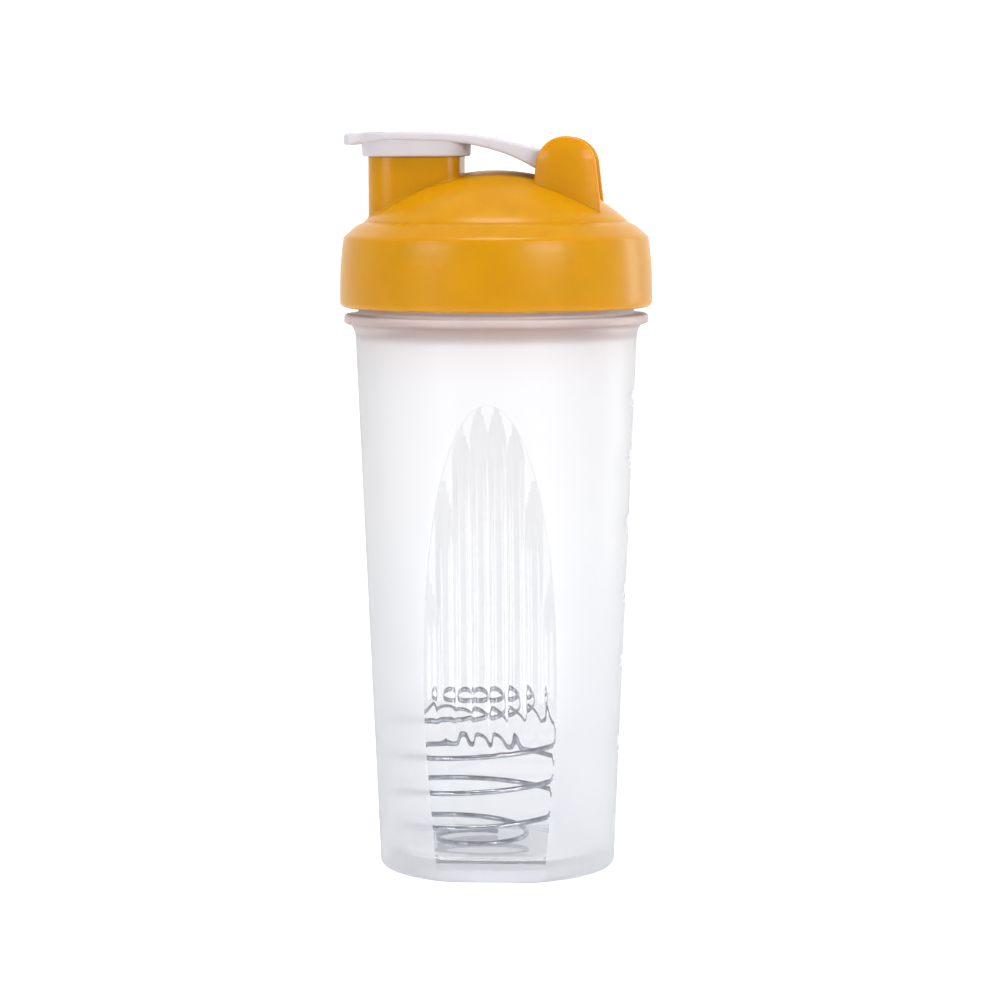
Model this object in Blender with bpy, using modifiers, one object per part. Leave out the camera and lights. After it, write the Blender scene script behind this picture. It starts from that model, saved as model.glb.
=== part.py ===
"""Protein shaker bottle: threaded cup, screw lid with a spout, hinged flip cap, lid gasket and wire whisk.

Metres, +Z up, origin at the middle of the base. The flat windows face -Y and +Y, the spout is on the -X side,
the flip cap's hinge on the +X side, and the lid unscrews about +Z.
"""

import math

import bmesh
import bpy
from mathutils import Matrix, Vector

ROUND_STEPS = 64
WELD = 0.00001
GAP = 0.0003

# Cup: a cone that widens upwards, a rounded foot, a collar under the lid and a threaded neck.
CUP_BASE_RADIUS = 0.0352
CUP_TOP_RADIUS = 0.042
CUP_BODY_TOP = 0.1605
CUP_WALL = 0.0018
FOOT_ROUNDING = 0.0018
FOOT_HEIGHT = 0.0033
FOOT_INNER_RADIUS = 0.0292
FLOOR_TOP = 0.006
FLOOR_ROUNDING = 0.003
COLLAR_RADIUS = 0.0453
COLLAR_BOTTOM = 0.1632
COLLAR_TOP = 0.166
COLLAR_ROUNDING = 0.0008
COLLAR_FLARE_RADIUS = 0.043
NECK_RADIUS = 0.0411
NECK_INNER_RADIUS = 0.0392
NECK_TOP = 0.185
NECK_CHAMFER = 0.0004

# Windows: flat facets that stand upright, then lean outwards on a large arc until they meet the cone.
WINDOW_OFFSET = 0.0314
WINDOW_ARC_START = 0.03
WINDOW_ARC_RADIUS = 0.64
WINDOW_CUT_TOP = 0.15
WINDOW_ARC_STEPS = 16
WINDOW_HALF_WIDTH = 0.03

# Thread: one round rib on the neck and one inside the lid, half a lead apart, both with the same lead.
THREAD_LEAD = 0.006
THREAD_RIB_RADIUS = 0.0014
THREAD_POINTS_PER_TURN = 24
THREAD_FADE = 0.06
THREAD_FADE_SCALE = 0.35
CUP_THREAD_RADIUS = 0.0415
CUP_THREAD_TURNS = (0.0, 1.4)
CUP_THREAD_BASE = 0.1715
LID_THREAD_RADIUS = 0.0437
LID_THREAD_TURNS = (0.3, 1.5)
LID_THREAD_BASE = CUP_THREAD_BASE - THREAD_LEAD / 2

# Lid: skirt, shoulder, domed top, seal ring and gasket land.
LID_BOTTOM = 0.168
LID_BOTTOM_RADIUS = 0.0465
LID_SHOULDER_RADIUS = 0.0455
LID_SHOULDER_Z = 0.1876
LID_SHOULDER_INNER_RADIUS = 0.044
LID_SHOULDER_TOP_Z = 0.19
LID_ROUNDING = 0.001
LID_INNER_RADIUS = 0.0441
LID_LAND_Z = 0.187
DOME_TOP = 0.2085
DOME_RADIUS = 0.0588
DOME_EDGE_RADIUS = 0.0387
DOME_WALL = 0.0018
DOME_STEPS = 9
SEAL_RING_OUTER = 0.0389
SEAL_RING_INNER = 0.0374
SEAL_RING_BOTTOM = 0.181

# Gasket: a flat ring between the neck's rim and the lid's land.
GASKET_INNER = 0.0392
GASKET_OUTER = 0.0431

# Spout: a round-cornered box whose outer corners are larger than those on the hinge side.
SPOUT_OUTER_X = -0.0376
SPOUT_INNER_X = -0.0099
SPOUT_HALF_WIDTH = 0.0135
SPOUT_OUTER_CORNER = 0.009
SPOUT_INNER_CORNER = 0.0045
SPOUT_WALL = 0.0019
SPOUT_BOTTOM = 0.188
SPOUT_TOP = 0.216
CORNER_STEPS = 6

# Hinge: two ears on the lid with blind sockets, and the flip cap's knuckle with trunnions between them.
PIVOT_X = 0.0215
PIVOT_Z = 0.2093
EAR_TOP_RADIUS = 0.0088
EAR_ARC_Z = 0.2097
EAR_LEFT_FOOT_X = 0.0108
EAR_RIGHT_FOOT_X = 0.0324
EAR_FOOT_Z = 0.192
EAR_THICKNESS = 0.0035
EAR_ROUNDING = 0.0007
EAR_STEPS = 14
KNUCKLE_RADIUS = 0.004
KNUCKLE_HALF_WIDTH = 0.0142
SOCKET_RADIUS = 0.0019
SOCKET_DEPTH = 0.0021
TRUNNION_RADIUS = 0.0016
PIN_STEPS = 20

# Flip cap: an arched plate with a thumb tab, a skirt round the spout, a plug in it and an arm to the hinge.
CAP_TOP_LINE = ((-0.0446, 0.2186), (-0.0442, 0.2194), (-0.0425, 0.2196), (-0.036, 0.2199), (-0.028, 0.22),
                (-0.02, 0.2199), (-0.013, 0.2196), (-0.006, 0.219), (0.0005, 0.2179), (0.0065, 0.2165),
                (0.0125, 0.2149), (0.018, 0.2135))
CAP_UNDER_LINE = ((0.0187, 0.2064), (0.0135, 0.2084), (0.0085, 0.2112), (0.0035, 0.2134), (-0.0015, 0.2149),
                  (-0.0075, 0.2163), (-0.014, 0.217), (-0.03, 0.2175), (-0.04, 0.2172), (-0.0441, 0.2166),
                  (-0.0446, 0.2171))
CAP_TAB_TIP_X = -0.0448
CAP_TAB_HALF_WIDTH = 0.01
CAP_TAB_CORNER = 0.004
CAP_PLATE_OVERHANG = 0.0026
CAP_NECK_X = 0.0085
CAP_SKIRT_GAP = 0.0006
CAP_SKIRT_WALL = 0.0012
CAP_SKIRT_BOTTOM = 0.2126
CAP_PLUG_GAP = 0.0008
CAP_PLUG_WALL = 0.0015
CAP_PLUG_BOTTOM = 0.2132
CAP_INSIDE_TOP = 0.2182

# Whisk: one steel wire wound into a right-hand barrel with small, nearly flat end turns. It stands on the
# floor beside the axis. Its place along the wire is counted in turns from the bottom end.
WIRE_RADIUS = 0.00078
WHISK_CENTRE_X = -0.0052
WHISK_BASE_Z = 0.0071
WHISK_START_TURN = 0.194
WHISK_TURNS = 5.78
WHISK_MAIN_RADIUS = 0.0268
WHISK_BOTTOM_RADIUS = 0.0126
WHISK_BOTTOM_GROWTH = 0.0017
WHISK_TOP_RADIUS = 0.0136
WHISK_TOP_GROWTH = 0.0016
WHISK_WIDEN = (0.8, 1.55)
WHISK_NARROW = (4.25, 4.85)
WHISK_FLAT_PITCH = 0.0019
WHISK_MAIN_PITCH = 0.0105
WHISK_CLIMB = (0.93, 4.85)
WHISK_CLIMB_EASE = 0.3
WHISK_POINTS_PER_TURN = 15

STEEL = ((0.62, 0.63, 0.65), 0.22, 1.0)
ORANGE = ((0.8, 0.38, 0.01), 0.45, 0.0)
WHITE = ((0.8, 0.8, 0.83), 0.35, 0.0)
FROSTED = ((0.85, 0.85, 0.87), 0.4, 0.0)
SILICONE = ((0.7, 0.7, 0.7), 0.6, 0.0)


def clear_scene():
    for obj in list(bpy.data.objects):
        bpy.data.objects.remove(obj, do_unlink=True)


def new_collection(name):
    collection = bpy.data.collections.new(name)
    bpy.context.scene.collection.children.link(collection)
    return collection


def add_object(name, mesh, collection):
    obj = bpy.data.objects.new(name, mesh)
    collection.objects.link(obj)
    return obj


def as_helper(obj):
    """A cutter or a piece to be joined: it shapes other objects and isn't one itself."""
    obj.hide_render = True
    obj.display_type = "WIRE"
    return obj


def turned(name, profile, collection, closed=False, steps=ROUND_STEPS):
    """A solid turned about Z from (radius, height) points that run down its outer side."""
    mesh = bpy.data.meshes.new(name)
    count = len(profile)
    edges = [(i, (i + 1) % count) for i in range(count if closed else count - 1)]
    mesh.from_pydata([(radius, 0, height) for radius, height in profile], edges, [])
    obj = add_object(name, mesh, collection)
    screw = obj.modifiers.new("Turn", "SCREW")
    screw.steps = steps
    screw.render_steps = steps
    screw.use_merge_vertices = True
    screw.merge_threshold = WELD
    return obj


def mesh_from_curve(curve, collection):
    """Replaces a curve object with a mesh object of the same name, with its caps welded on."""
    bpy.context.view_layer.update()
    graph = bpy.context.evaluated_depsgraph_get()
    mesh = bpy.data.meshes.new_from_object(curve.evaluated_get(graph))
    work = bmesh.new()
    work.from_mesh(mesh)
    bmesh.ops.remove_doubles(work, verts=work.verts, dist=WELD)
    bmesh.ops.recalc_face_normals(work, faces=work.faces)
    work.to_mesh(mesh)
    work.free()
    name = curve.name
    place = curve.matrix_world.copy()
    bpy.data.objects.remove(curve, do_unlink=True)
    obj = add_object(name, mesh, collection)
    obj.matrix_world = place
    return obj


def outline_solid(name, outline, half_depth, place, collection):
    """A flat outline given thickness to both sides, then put in place by a matrix."""
    data = bpy.data.curves.new(name, "CURVE")
    data.dimensions = "2D"
    data.fill_mode = "BOTH"
    data.extrude = half_depth
    spline = data.splines.new("POLY")
    spline.points.add(len(outline) - 1)
    for point, (u, v) in zip(spline.points, outline):
        point.co = (u, v, 0, 1)
    spline.use_cyclic_u = True
    obj = mesh_from_curve(add_object(name, data, collection), collection)
    obj.data.transform(place)
    return obj


def along_x():
    """Puts an outline's first axis on Y and its second on Z, with its thickness along X."""
    return Matrix(((0, 0, 1, 0), (1, 0, 0, 0), (0, 1, 0, 0), (0, 0, 0, 1)))


def along_y(y=0.0):
    """Puts an outline's first axis on X and its second on Z, with its thickness along Y."""
    return Matrix.Translation((0, y, 0)) @ Matrix(((1, 0, 0, 0), (0, 0, -1, 0), (0, 1, 0, 0), (0, 0, 0, 1)))


def upright(bottom, top):
    """Half the height and the matrix of an outline that stands from bottom to top."""
    return (top - bottom) / 2, Matrix.Translation((0, 0, (top + bottom) / 2))


def boolean(obj, other, operation):
    modifier = obj.modifiers.new(other.name, "BOOLEAN")
    modifier.object = other
    modifier.operation = operation


def arc(centre, radius, start, end, steps):
    """Points on an arc, in degrees, ends included."""
    points = []
    for i in range(steps + 1):
        angle = math.radians(start + (end - start) * i / steps)
        points.append((centre[0] + radius * math.cos(angle), centre[1] + radius * math.sin(angle)))
    return points


def thread_rib(name, radius, base, turns, inwards, collection):
    """A round rib on a right-hand helix. Its ends thin out and sink into the wall behind it."""
    steps = round((turns[1] - turns[0]) * THREAD_POINTS_PER_TURN)
    data = bpy.data.curves.new(name, "CURVE")
    data.dimensions = "3D"
    data.bevel_depth = THREAD_RIB_RADIUS
    data.bevel_resolution = 2
    data.use_fill_caps = True
    spline = data.splines.new("POLY")
    spline.points.add(steps)
    for i, point in enumerate(spline.points):
        turn = turns[0] + (turns[1] - turns[0]) * i / steps
        fade = min(1, min(turn - turns[0], turns[1] - turn) / THREAD_FADE)
        sink = inwards * THREAD_RIB_RADIUS * (1 - fade)
        angle = 2 * math.pi * turn
        reach = radius - sink
        point.co = (reach * math.cos(angle), reach * math.sin(angle), base + THREAD_LEAD * turn, 1)
        point.radius = THREAD_FADE_SCALE + (1 - THREAD_FADE_SCALE) * fade
    return as_helper(mesh_from_curve(add_object(name, data, collection), collection))


def cup_radius(height):
    return CUP_BASE_RADIUS + (CUP_TOP_RADIUS - CUP_BASE_RADIUS) * height / CUP_BODY_TOP


def cup_outer_profile():
    foot_side = cup_radius(FOOT_ROUNDING)
    collar_centre = COLLAR_RADIUS - COLLAR_ROUNDING
    collar_top_arc = arc((collar_centre, COLLAR_TOP - COLLAR_ROUNDING), COLLAR_ROUNDING, 90, 0, 3)
    collar_low_arc = arc((collar_centre, COLLAR_BOTTOM + COLLAR_ROUNDING), COLLAR_ROUNDING, 0, -90, 3)
    foot_arc = arc((foot_side - FOOT_ROUNDING, FOOT_ROUNDING), FOOT_ROUNDING, 0, -90, 4)
    return [
        (0, NECK_TOP),
        (NECK_RADIUS - NECK_CHAMFER, NECK_TOP),
        (NECK_RADIUS, NECK_TOP - NECK_CHAMFER),
        (NECK_RADIUS, COLLAR_TOP),
        *collar_top_arc,
        *collar_low_arc,
        (COLLAR_FLARE_RADIUS, (COLLAR_BOTTOM + CUP_BODY_TOP) / 2 + COLLAR_ROUNDING),
        (cup_radius(CUP_BODY_TOP), CUP_BODY_TOP),
        *foot_arc,
        (FOOT_INNER_RADIUS + FOOT_HEIGHT / 2, 0),
        (FOOT_INNER_RADIUS, FOOT_HEIGHT),
        (0, FOOT_HEIGHT),
    ]


def cavity_profile():
    above = NECK_TOP + 0.005
    floor_side = cup_radius(FLOOR_TOP + FLOOR_ROUNDING) - CUP_WALL
    floor_arc = arc((floor_side - FLOOR_ROUNDING, FLOOR_TOP + FLOOR_ROUNDING), FLOOR_ROUNDING, 0, -90, 4)
    return [
        (0, above),
        (NECK_INNER_RADIUS, above),
        (NECK_INNER_RADIUS, COLLAR_BOTTOM),
        (cup_radius(CUP_BODY_TOP) - CUP_WALL, CUP_BODY_TOP - CUP_WALL),
        *floor_arc,
        (0, FLOOR_TOP),
    ]


def window_cutter(name, side, inset, collection):
    """The block outside a window: it follows the window's face, moved towards the axis by inset."""
    outline = [(side * (WINDOW_OFFSET - inset), -FOOT_ROUNDING)]
    for i in range(WINDOW_ARC_STEPS + 1):
        height = WINDOW_ARC_START + (WINDOW_CUT_TOP - WINDOW_ARC_START) * i / WINDOW_ARC_STEPS
        rise = height - WINDOW_ARC_START
        lean = WINDOW_ARC_RADIUS - math.sqrt(WINDOW_ARC_RADIUS**2 - rise**2)
        outline.append((side * (WINDOW_OFFSET - inset + lean), height))
    outline.append((side * 2 * WINDOW_OFFSET, WINDOW_CUT_TOP))
    outline.append((side * 2 * WINDOW_OFFSET, -FOOT_ROUNDING))
    return as_helper(outline_solid(name, outline, WINDOW_HALF_WIDTH, along_x(), collection))


def make_cup(parts, cutters):
    cup = turned("cup", cup_outer_profile(), parts)
    cavity = as_helper(turned("cup_cavity", cavity_profile(), cutters))
    for label, side in (("front", -1), ("rear", 1)):
        boolean(cup, window_cutter("window_" + label, side, 0, cutters), "DIFFERENCE")
        boolean(cavity, window_cutter("cavity_window_" + label, side, CUP_WALL, cutters), "DIFFERENCE")
    boolean(cup, cavity, "DIFFERENCE")
    rib = thread_rib("cup_thread", CUP_THREAD_RADIUS, CUP_THREAD_BASE, CUP_THREAD_TURNS, 1, cutters)
    boolean(cup, rib, "UNION")
    return cup


def dome_arc(radius, edge_radius, steps):
    """The dome's section from its top out to edge_radius, about the dome's own centre."""
    centre_z = DOME_TOP - DOME_RADIUS
    edge = math.asin(edge_radius / radius)
    return [(radius * math.sin(edge * i / steps), centre_z + radius * math.cos(edge * i / steps))
            for i in range(steps + 1)]


def lid_outer_profile():
    return [
        *dome_arc(DOME_RADIUS, DOME_EDGE_RADIUS, DOME_STEPS),
        (LID_SHOULDER_INNER_RADIUS, LID_SHOULDER_TOP_Z),
        (LID_SHOULDER_RADIUS - LID_ROUNDING / 3, LID_SHOULDER_Z + LID_ROUNDING),
        (LID_SHOULDER_RADIUS, LID_SHOULDER_Z),
        (LID_BOTTOM_RADIUS, LID_BOTTOM + 2 * LID_ROUNDING),
        (LID_BOTTOM_RADIUS - LID_ROUNDING / 3, LID_BOTTOM + LID_ROUNDING / 2),
        (LID_BOTTOM_RADIUS - LID_ROUNDING, LID_BOTTOM),
        (0, LID_BOTTOM),
    ]


def lid_cavity_profile():
    below = LID_BOTTOM - 0.005
    return [
        *dome_arc(DOME_RADIUS - DOME_WALL, SEAL_RING_INNER, DOME_STEPS),
        (SEAL_RING_INNER, SEAL_RING_BOTTOM),
        (SEAL_RING_OUTER, SEAL_RING_BOTTOM),
        (SEAL_RING_OUTER, LID_LAND_Z),
        (LID_INNER_RADIUS, LID_LAND_Z),
        (LID_INNER_RADIUS, below),
        (0, below),
    ]


def spout_outline(inset):
    """The spout's plan, moved inwards by inset, or outwards where it is negative."""
    outer_x = SPOUT_OUTER_X + inset
    inner_x = SPOUT_INNER_X - inset
    half = SPOUT_HALF_WIDTH - inset
    outer = SPOUT_OUTER_CORNER - inset
    inner = max(SPOUT_INNER_CORNER - inset, SPOUT_WALL / 2)
    return [
        *arc((inner_x - inner, -half + inner), inner, -90, 0, CORNER_STEPS),
        *arc((inner_x - inner, half - inner), inner, 0, 90, CORNER_STEPS),
        *arc((outer_x + outer, half - outer), outer, 90, 180, CORNER_STEPS),
        *arc((outer_x + outer, -half + outer), outer, 180, 270, CORNER_STEPS),
    ]


def spout_solid(name, inset, bottom, top, collection):
    half_height, place = upright(bottom, top)
    return as_helper(outline_solid(name, spout_outline(inset), half_height, place, collection))


def hinge_pin(name, radius, half_length, y, collection):
    """A round solid on the hinge axis."""
    mesh = bpy.data.meshes.new(name)
    work = bmesh.new()
    bmesh.ops.create_cone(work, cap_ends=True, segments=PIN_STEPS, radius1=radius, radius2=radius,
                          depth=2 * half_length)
    work.to_mesh(mesh)
    work.free()
    mesh.transform(Matrix.Translation((PIVOT_X, y, PIVOT_Z)) @ Matrix.Rotation(math.pi / 2, 4, "X"))
    return as_helper(add_object(name, mesh, collection))


def ear(name, side, collection):
    """A round-topped ear whose sides spread slightly towards the dome."""
    outline = [
        (EAR_LEFT_FOOT_X, EAR_FOOT_Z),
        (EAR_RIGHT_FOOT_X, EAR_FOOT_Z),
        *arc((PIVOT_X, EAR_ARC_Z), EAR_TOP_RADIUS, 4, 176, EAR_STEPS),
    ]
    middle = side * (KNUCKLE_HALF_WIDTH + GAP + EAR_THICKNESS / 2)
    solid = outline_solid(name, outline, EAR_THICKNESS / 2, along_y(middle), collection)
    bevel = solid.modifiers.new("Rounding", "BEVEL")
    bevel.width = EAR_ROUNDING
    bevel.segments = 2
    bevel.limit_method = "ANGLE"
    bevel.angle_limit = math.radians(50)
    return as_helper(solid)


def make_lid(parts, cutters):
    lid = turned("lid", lid_outer_profile(), parts)
    boolean(lid, spout_solid("spout", 0, SPOUT_BOTTOM, SPOUT_TOP, cutters), "UNION")
    for label, side in (("front", -1), ("rear", 1)):
        boolean(lid, ear("ear_" + label, side, cutters), "UNION")
    boolean(lid, as_helper(turned("lid_cavity", lid_cavity_profile(), cutters)), "DIFFERENCE")
    bore_top = SPOUT_TOP + 0.003
    boolean(lid, spout_solid("spout_bore", SPOUT_WALL, SPOUT_BOTTOM, bore_top, cutters), "DIFFERENCE")
    for label, side in (("front", -1), ("rear", 1)):
        mouth = KNUCKLE_HALF_WIDTH + GAP
        middle = side * (mouth + SOCKET_DEPTH / 2 - GAP)
        socket = hinge_pin("socket_" + label, SOCKET_RADIUS, SOCKET_DEPTH / 2 + GAP, middle, cutters)
        boolean(lid, socket, "DIFFERENCE")
    rib = thread_rib("lid_thread", LID_THREAD_RADIUS, LID_THREAD_BASE, LID_THREAD_TURNS, -1, cutters)
    boolean(lid, rib, "UNION")
    return lid


def make_gasket(parts):
    bottom = NECK_TOP + GAP
    top = LID_LAND_Z - GAP
    section = [(GASKET_OUTER, top), (GASKET_OUTER, bottom), (GASKET_INNER, bottom), (GASKET_INNER, top)]
    return turned("lid_gasket", section, parts, closed=True)


def cap_plan():
    """The cap seen from above: thumb tab, plate over the spout, then an arm that narrows to the hinge."""
    reach = CAP_PLATE_OVERHANG
    half = SPOUT_HALF_WIDTH + reach
    outer = SPOUT_OUTER_CORNER + reach
    outer_x = SPOUT_OUTER_X - reach
    inner_x = SPOUT_INNER_X + reach
    tab_corner = (CAP_TAB_TIP_X + CAP_TAB_CORNER, CAP_TAB_HALF_WIDTH - CAP_TAB_CORNER)
    upper = [
        (PIVOT_X, KNUCKLE_HALF_WIDTH),
        (CAP_NECK_X, KNUCKLE_HALF_WIDTH),
        (inner_x - 0.004, half),
        *arc((outer_x + outer, half - outer), outer, 90, 145, CORNER_STEPS),
        *arc(tab_corner, CAP_TAB_CORNER, 105, 180, 4),
    ]
    lower = [(x, -y) for x, y in reversed(upper)]
    return upper + lower


def make_flip_cap(parts, cutters):
    cap = outline_solid("flip_cap", CAP_TOP_LINE + CAP_UNDER_LINE, 2 * SPOUT_HALF_WIDTH, along_y(), parts)
    half_height, place = upright(SPOUT_BOTTOM, CAP_INSIDE_TOP + 0.005)
    boolean(cap, as_helper(outline_solid("cap_plan", cap_plan(), half_height, place, cutters)), "INTERSECT")
    outside = -CAP_SKIRT_GAP - CAP_SKIRT_WALL
    skirt = spout_solid("cap_skirt", outside, CAP_SKIRT_BOTTOM, CAP_INSIDE_TOP, cutters)
    above_spout = SPOUT_TOP + GAP
    skirt_inside = spout_solid("cap_skirt_inside", -CAP_SKIRT_GAP, SPOUT_BOTTOM, above_spout, cutters)
    boolean(skirt, skirt_inside, "DIFFERENCE")
    boolean(cap, skirt, "UNION")
    plug_inset = SPOUT_WALL + CAP_PLUG_GAP
    plug = spout_solid("cap_plug", plug_inset, CAP_PLUG_BOTTOM, CAP_INSIDE_TOP, cutters)
    hollow = spout_solid("cap_plug_hollow", plug_inset + CAP_PLUG_WALL, SPOUT_BOTTOM, above_spout, cutters)
    boolean(plug, hollow, "DIFFERENCE")
    boolean(cap, plug, "UNION")
    boolean(cap, hinge_pin("knuckle", KNUCKLE_RADIUS, KNUCKLE_HALF_WIDTH, 0, cutters), "UNION")
    trunnion_reach = KNUCKLE_HALF_WIDTH + SOCKET_DEPTH - GAP
    boolean(cap, hinge_pin("trunnions", TRUNNION_RADIUS, trunnion_reach, 0, cutters), "UNION")
    pivot = Vector((PIVOT_X, 0, PIVOT_Z))
    cap.data.transform(Matrix.Translation(-pivot))
    cap.location = pivot
    return cap


def smooth_step(value):
    value = min(max(value, 0), 1)
    return value * value * (3 - 2 * value)


def soft_ramp(value, ease):
    """Zero below, value above, and a smooth bend between -ease and ease."""
    if value < -ease:
        return 0
    if value > ease:
        return value
    return (value + ease) ** 2 / (4 * ease)


def whisk_radius(turn):
    """Radius of the wire's centre line about the whisk's own axis."""
    widened = smooth_step((turn - WHISK_WIDEN[0]) / (WHISK_WIDEN[1] - WHISK_WIDEN[0]))
    narrowed = smooth_step((turn - WHISK_NARROW[0]) / (WHISK_NARROW[1] - WHISK_NARROW[0]))
    if turn < WHISK_TURNS / 2:
        end = WHISK_BOTTOM_RADIUS + WHISK_BOTTOM_GROWTH * turn
    else:
        end = WHISK_TOP_RADIUS + WHISK_TOP_GROWTH * (WHISK_TURNS - turn)
    return end + (WHISK_MAIN_RADIUS - end) * (widened - narrowed)


def whisk_rise(turn):
    """Height of the wire's centre line above its start."""
    begin, end = WHISK_CLIMB
    climb = soft_ramp(turn - begin, WHISK_CLIMB_EASE) - soft_ramp(turn - end, WHISK_CLIMB_EASE)
    return WHISK_FLAT_PITCH * turn + (WHISK_MAIN_PITCH - WHISK_FLAT_PITCH) * climb


def make_whisk(parts):
    steps = round(WHISK_TURNS * WHISK_POINTS_PER_TURN)
    data = bpy.data.curves.new("whisk", "CURVE")
    data.dimensions = "3D"
    data.bevel_depth = WIRE_RADIUS
    data.bevel_resolution = 2
    data.use_fill_caps = True
    spline = data.splines.new("POLY")
    spline.points.add(steps)
    for i, point in enumerate(spline.points):
        turn = WHISK_TURNS * i / steps
        angle = 2 * math.pi * (WHISK_START_TURN + turn)
        radius = whisk_radius(turn)
        height = WHISK_BASE_Z + whisk_rise(turn)
        point.co = (WHISK_CENTRE_X + radius * math.cos(angle), radius * math.sin(angle), height, 1)
    return mesh_from_curve(add_object("whisk", data, parts), parts)


def plastic_or_metal(name, look):
    """A plain material from (colour, roughness, metallic)."""
    colour, roughness, metallic = look
    material = bpy.data.materials.new(name)
    material.use_nodes = True
    shader = material.node_tree.nodes["Principled BSDF"]
    shader.inputs["Base Color"].default_value = (*colour, 1)
    shader.inputs["Roughness"].default_value = roughness
    shader.inputs["Metallic"].default_value = metallic
    return material


def finish(obj, material):
    obj.data.materials.clear()
    obj.data.materials.append(material)
    obj.data.shade_smooth()
    obj.data.set_sharp_from_angle(angle=math.radians(35))


def main():
    clear_scene()
    parts = new_collection("protein_shaker_bottle")
    cutters = new_collection("cutters")
    finish(make_cup(parts, cutters), plastic_or_metal("frosted_plastic", FROSTED))
    finish(make_lid(parts, cutters), plastic_or_metal("orange_plastic", ORANGE))
    finish(make_gasket(parts), plastic_or_metal("silicone", SILICONE))
    finish(make_flip_cap(parts, cutters), plastic_or_metal("white_plastic", WHITE))
    finish(make_whisk(parts), plastic_or_metal("steel_wire", STEEL))


main()
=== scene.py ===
"""Visual model of a protein shaker bottle on the CAD frame: a frosted cup with a clear fluted window, an
orange screw lid with a spout and two hinge ears, a white flip cap, and a whisk wound from steel wire.

Metres, +Z up. The window faces -Y and a plain facet faces +Y. The spout is on the -X side and the hinge
on the +X side.
"""

import math

import bmesh
import bpy
from mathutils import Matrix, Vector


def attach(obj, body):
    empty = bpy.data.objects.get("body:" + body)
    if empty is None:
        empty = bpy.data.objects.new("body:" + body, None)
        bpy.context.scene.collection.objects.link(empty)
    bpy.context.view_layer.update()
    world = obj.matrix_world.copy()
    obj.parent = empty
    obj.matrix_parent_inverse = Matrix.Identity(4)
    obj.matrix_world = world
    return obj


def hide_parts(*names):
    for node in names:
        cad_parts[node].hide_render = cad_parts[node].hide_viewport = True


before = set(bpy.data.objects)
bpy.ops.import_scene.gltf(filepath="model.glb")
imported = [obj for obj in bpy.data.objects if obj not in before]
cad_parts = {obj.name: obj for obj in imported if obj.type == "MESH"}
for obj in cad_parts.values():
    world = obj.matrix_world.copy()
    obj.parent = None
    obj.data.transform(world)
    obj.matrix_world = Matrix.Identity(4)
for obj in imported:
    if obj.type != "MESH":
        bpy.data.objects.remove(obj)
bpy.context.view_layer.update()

WELD = 0.00001
TOLERANCE = 0.000001
AXIS_RADIUS = 0.0000001
EDGE_BREAK = 0.0003

# Cup
CUP_BASE_RADIUS = 0.0352
CUP_TOP_RADIUS = 0.042
CUP_BODY_TOP = 0.1605
CUP_WALL = 0.0018
FOOT_ROUNDING = 0.0018
FOOT_HEIGHT = 0.0033
FOOT_INNER_RADIUS = 0.0292
FOOT_RING_BREAK = 0.0004
FLOOR_TOP = 0.006
FLOOR_ROUNDING = 0.003
COLLAR_RADIUS = 0.0453
COLLAR_BOTTOM = 0.1632
COLLAR_TOP = 0.166
COLLAR_ROUNDING = 0.0008
COLLAR_FLARE_RADIUS = 0.043
NECK_RADIUS = 0.0411
NECK_INNER_RADIUS = 0.0392
NECK_TOP = 0.185
NECK_ROUNDING = 0.0005
NECK_FOOT_BREAK = 0.0004
FLARE_BLEND = 0.0008
FLARE_LIP = 0.0001
FLARE_HOLLOW = 0.0005
CUP_SIDE_COLUMNS = 76
CUP_ROW_STEP = 0.0016
RECESS_RINGS = 5

# Facets in the cup's side: each stands upright, then leans outwards on a large arc until it meets the cone.
# An offset of NO_FACET lies outside the cup, so it cuts nothing flat.
NO_FACET = 1
FACET_APEX = (0.132, 0.1445)
FACET_APEX_ROW_STEP = 0.0005
FACET_INNER_APEX_RISE = 0.004
FACET_FLOOR_EASE = 0.6
FACET_OFFSET = 0.0314
FACET_ARC_START = 0.03
FACET_ARC_RADIUS = 0.64
FACET_EDGE = 0.0003

# The window in the front facet. Its flutes lie side by side from the middle outwards, each with its own lower
# and upper end, and the clear plastic ends in a pointed tip on each.
WINDOW_BOTTOM = 0.0056
FLUTE_SPACING = 0.00525
FLUTE_DEPTH = 0.00095
FLUTE_INNER_SHARE = 0.55
FLUTE_MARGIN = 0.0022
FLUTE_TOP_RAMP = 0.016
FLUTE_BOTTOM_RAMP = 0.013
FLUTE_SHAPE = (-1, -0.93, -0.8, -0.6, -0.32, 0, 0.32, 0.6, 0.8, 0.93)
FLUTE_ENDS = ((0.035, 0.139), (0.038, 0.133), (0.041, 0.115), (0.043, 0.088))
FLUTE_TIP_RISE = 0.0045
FLUTE_TIP_DROP = 0.011

# Neck thread
THREAD_LEAD = 0.006
THREAD_HEIGHT = 0.0017
THREAD_HALF_WIDTH = 0.0019
THREAD_BASE = 0.1715
THREAD_TURNS = 1.4
THREAD_FADE = 0.06
THREAD_ROW_STEP = 0.0004

# The plastic's tint by height: cooler at the foot; near the rim, painted warm bounce light from the lid,
# darker there
CUP_TINTS_WITH_PAINTED_GLOW = ((0.0, (0.94, 0.955, 0.98)), (0.05, (0.96, 0.97, 0.99)), (0.1, (1.0, 1.0, 1.0)),
             (0.145, (1.0, 1.0, 1.0)), (0.1585, (0.985, 0.95, 0.945)), (0.163, (0.82, 0.68, 0.64)),
             (0.185, (0.78, 0.58, 0.48)))
# The window's tint by height, with the same painted warm bounce light from the lid near the rim
CLEAR_TINTS_WITH_PAINTED_GLOW = ((0.0, (0.97, 0.98, 0.99)), (0.1, (1.0, 1.0, 1.0)), (0.158, (1.0, 0.985, 0.98)),
               (0.163, (0.93, 0.84, 0.81)), (0.185, (0.9, 0.75, 0.66)))

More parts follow.
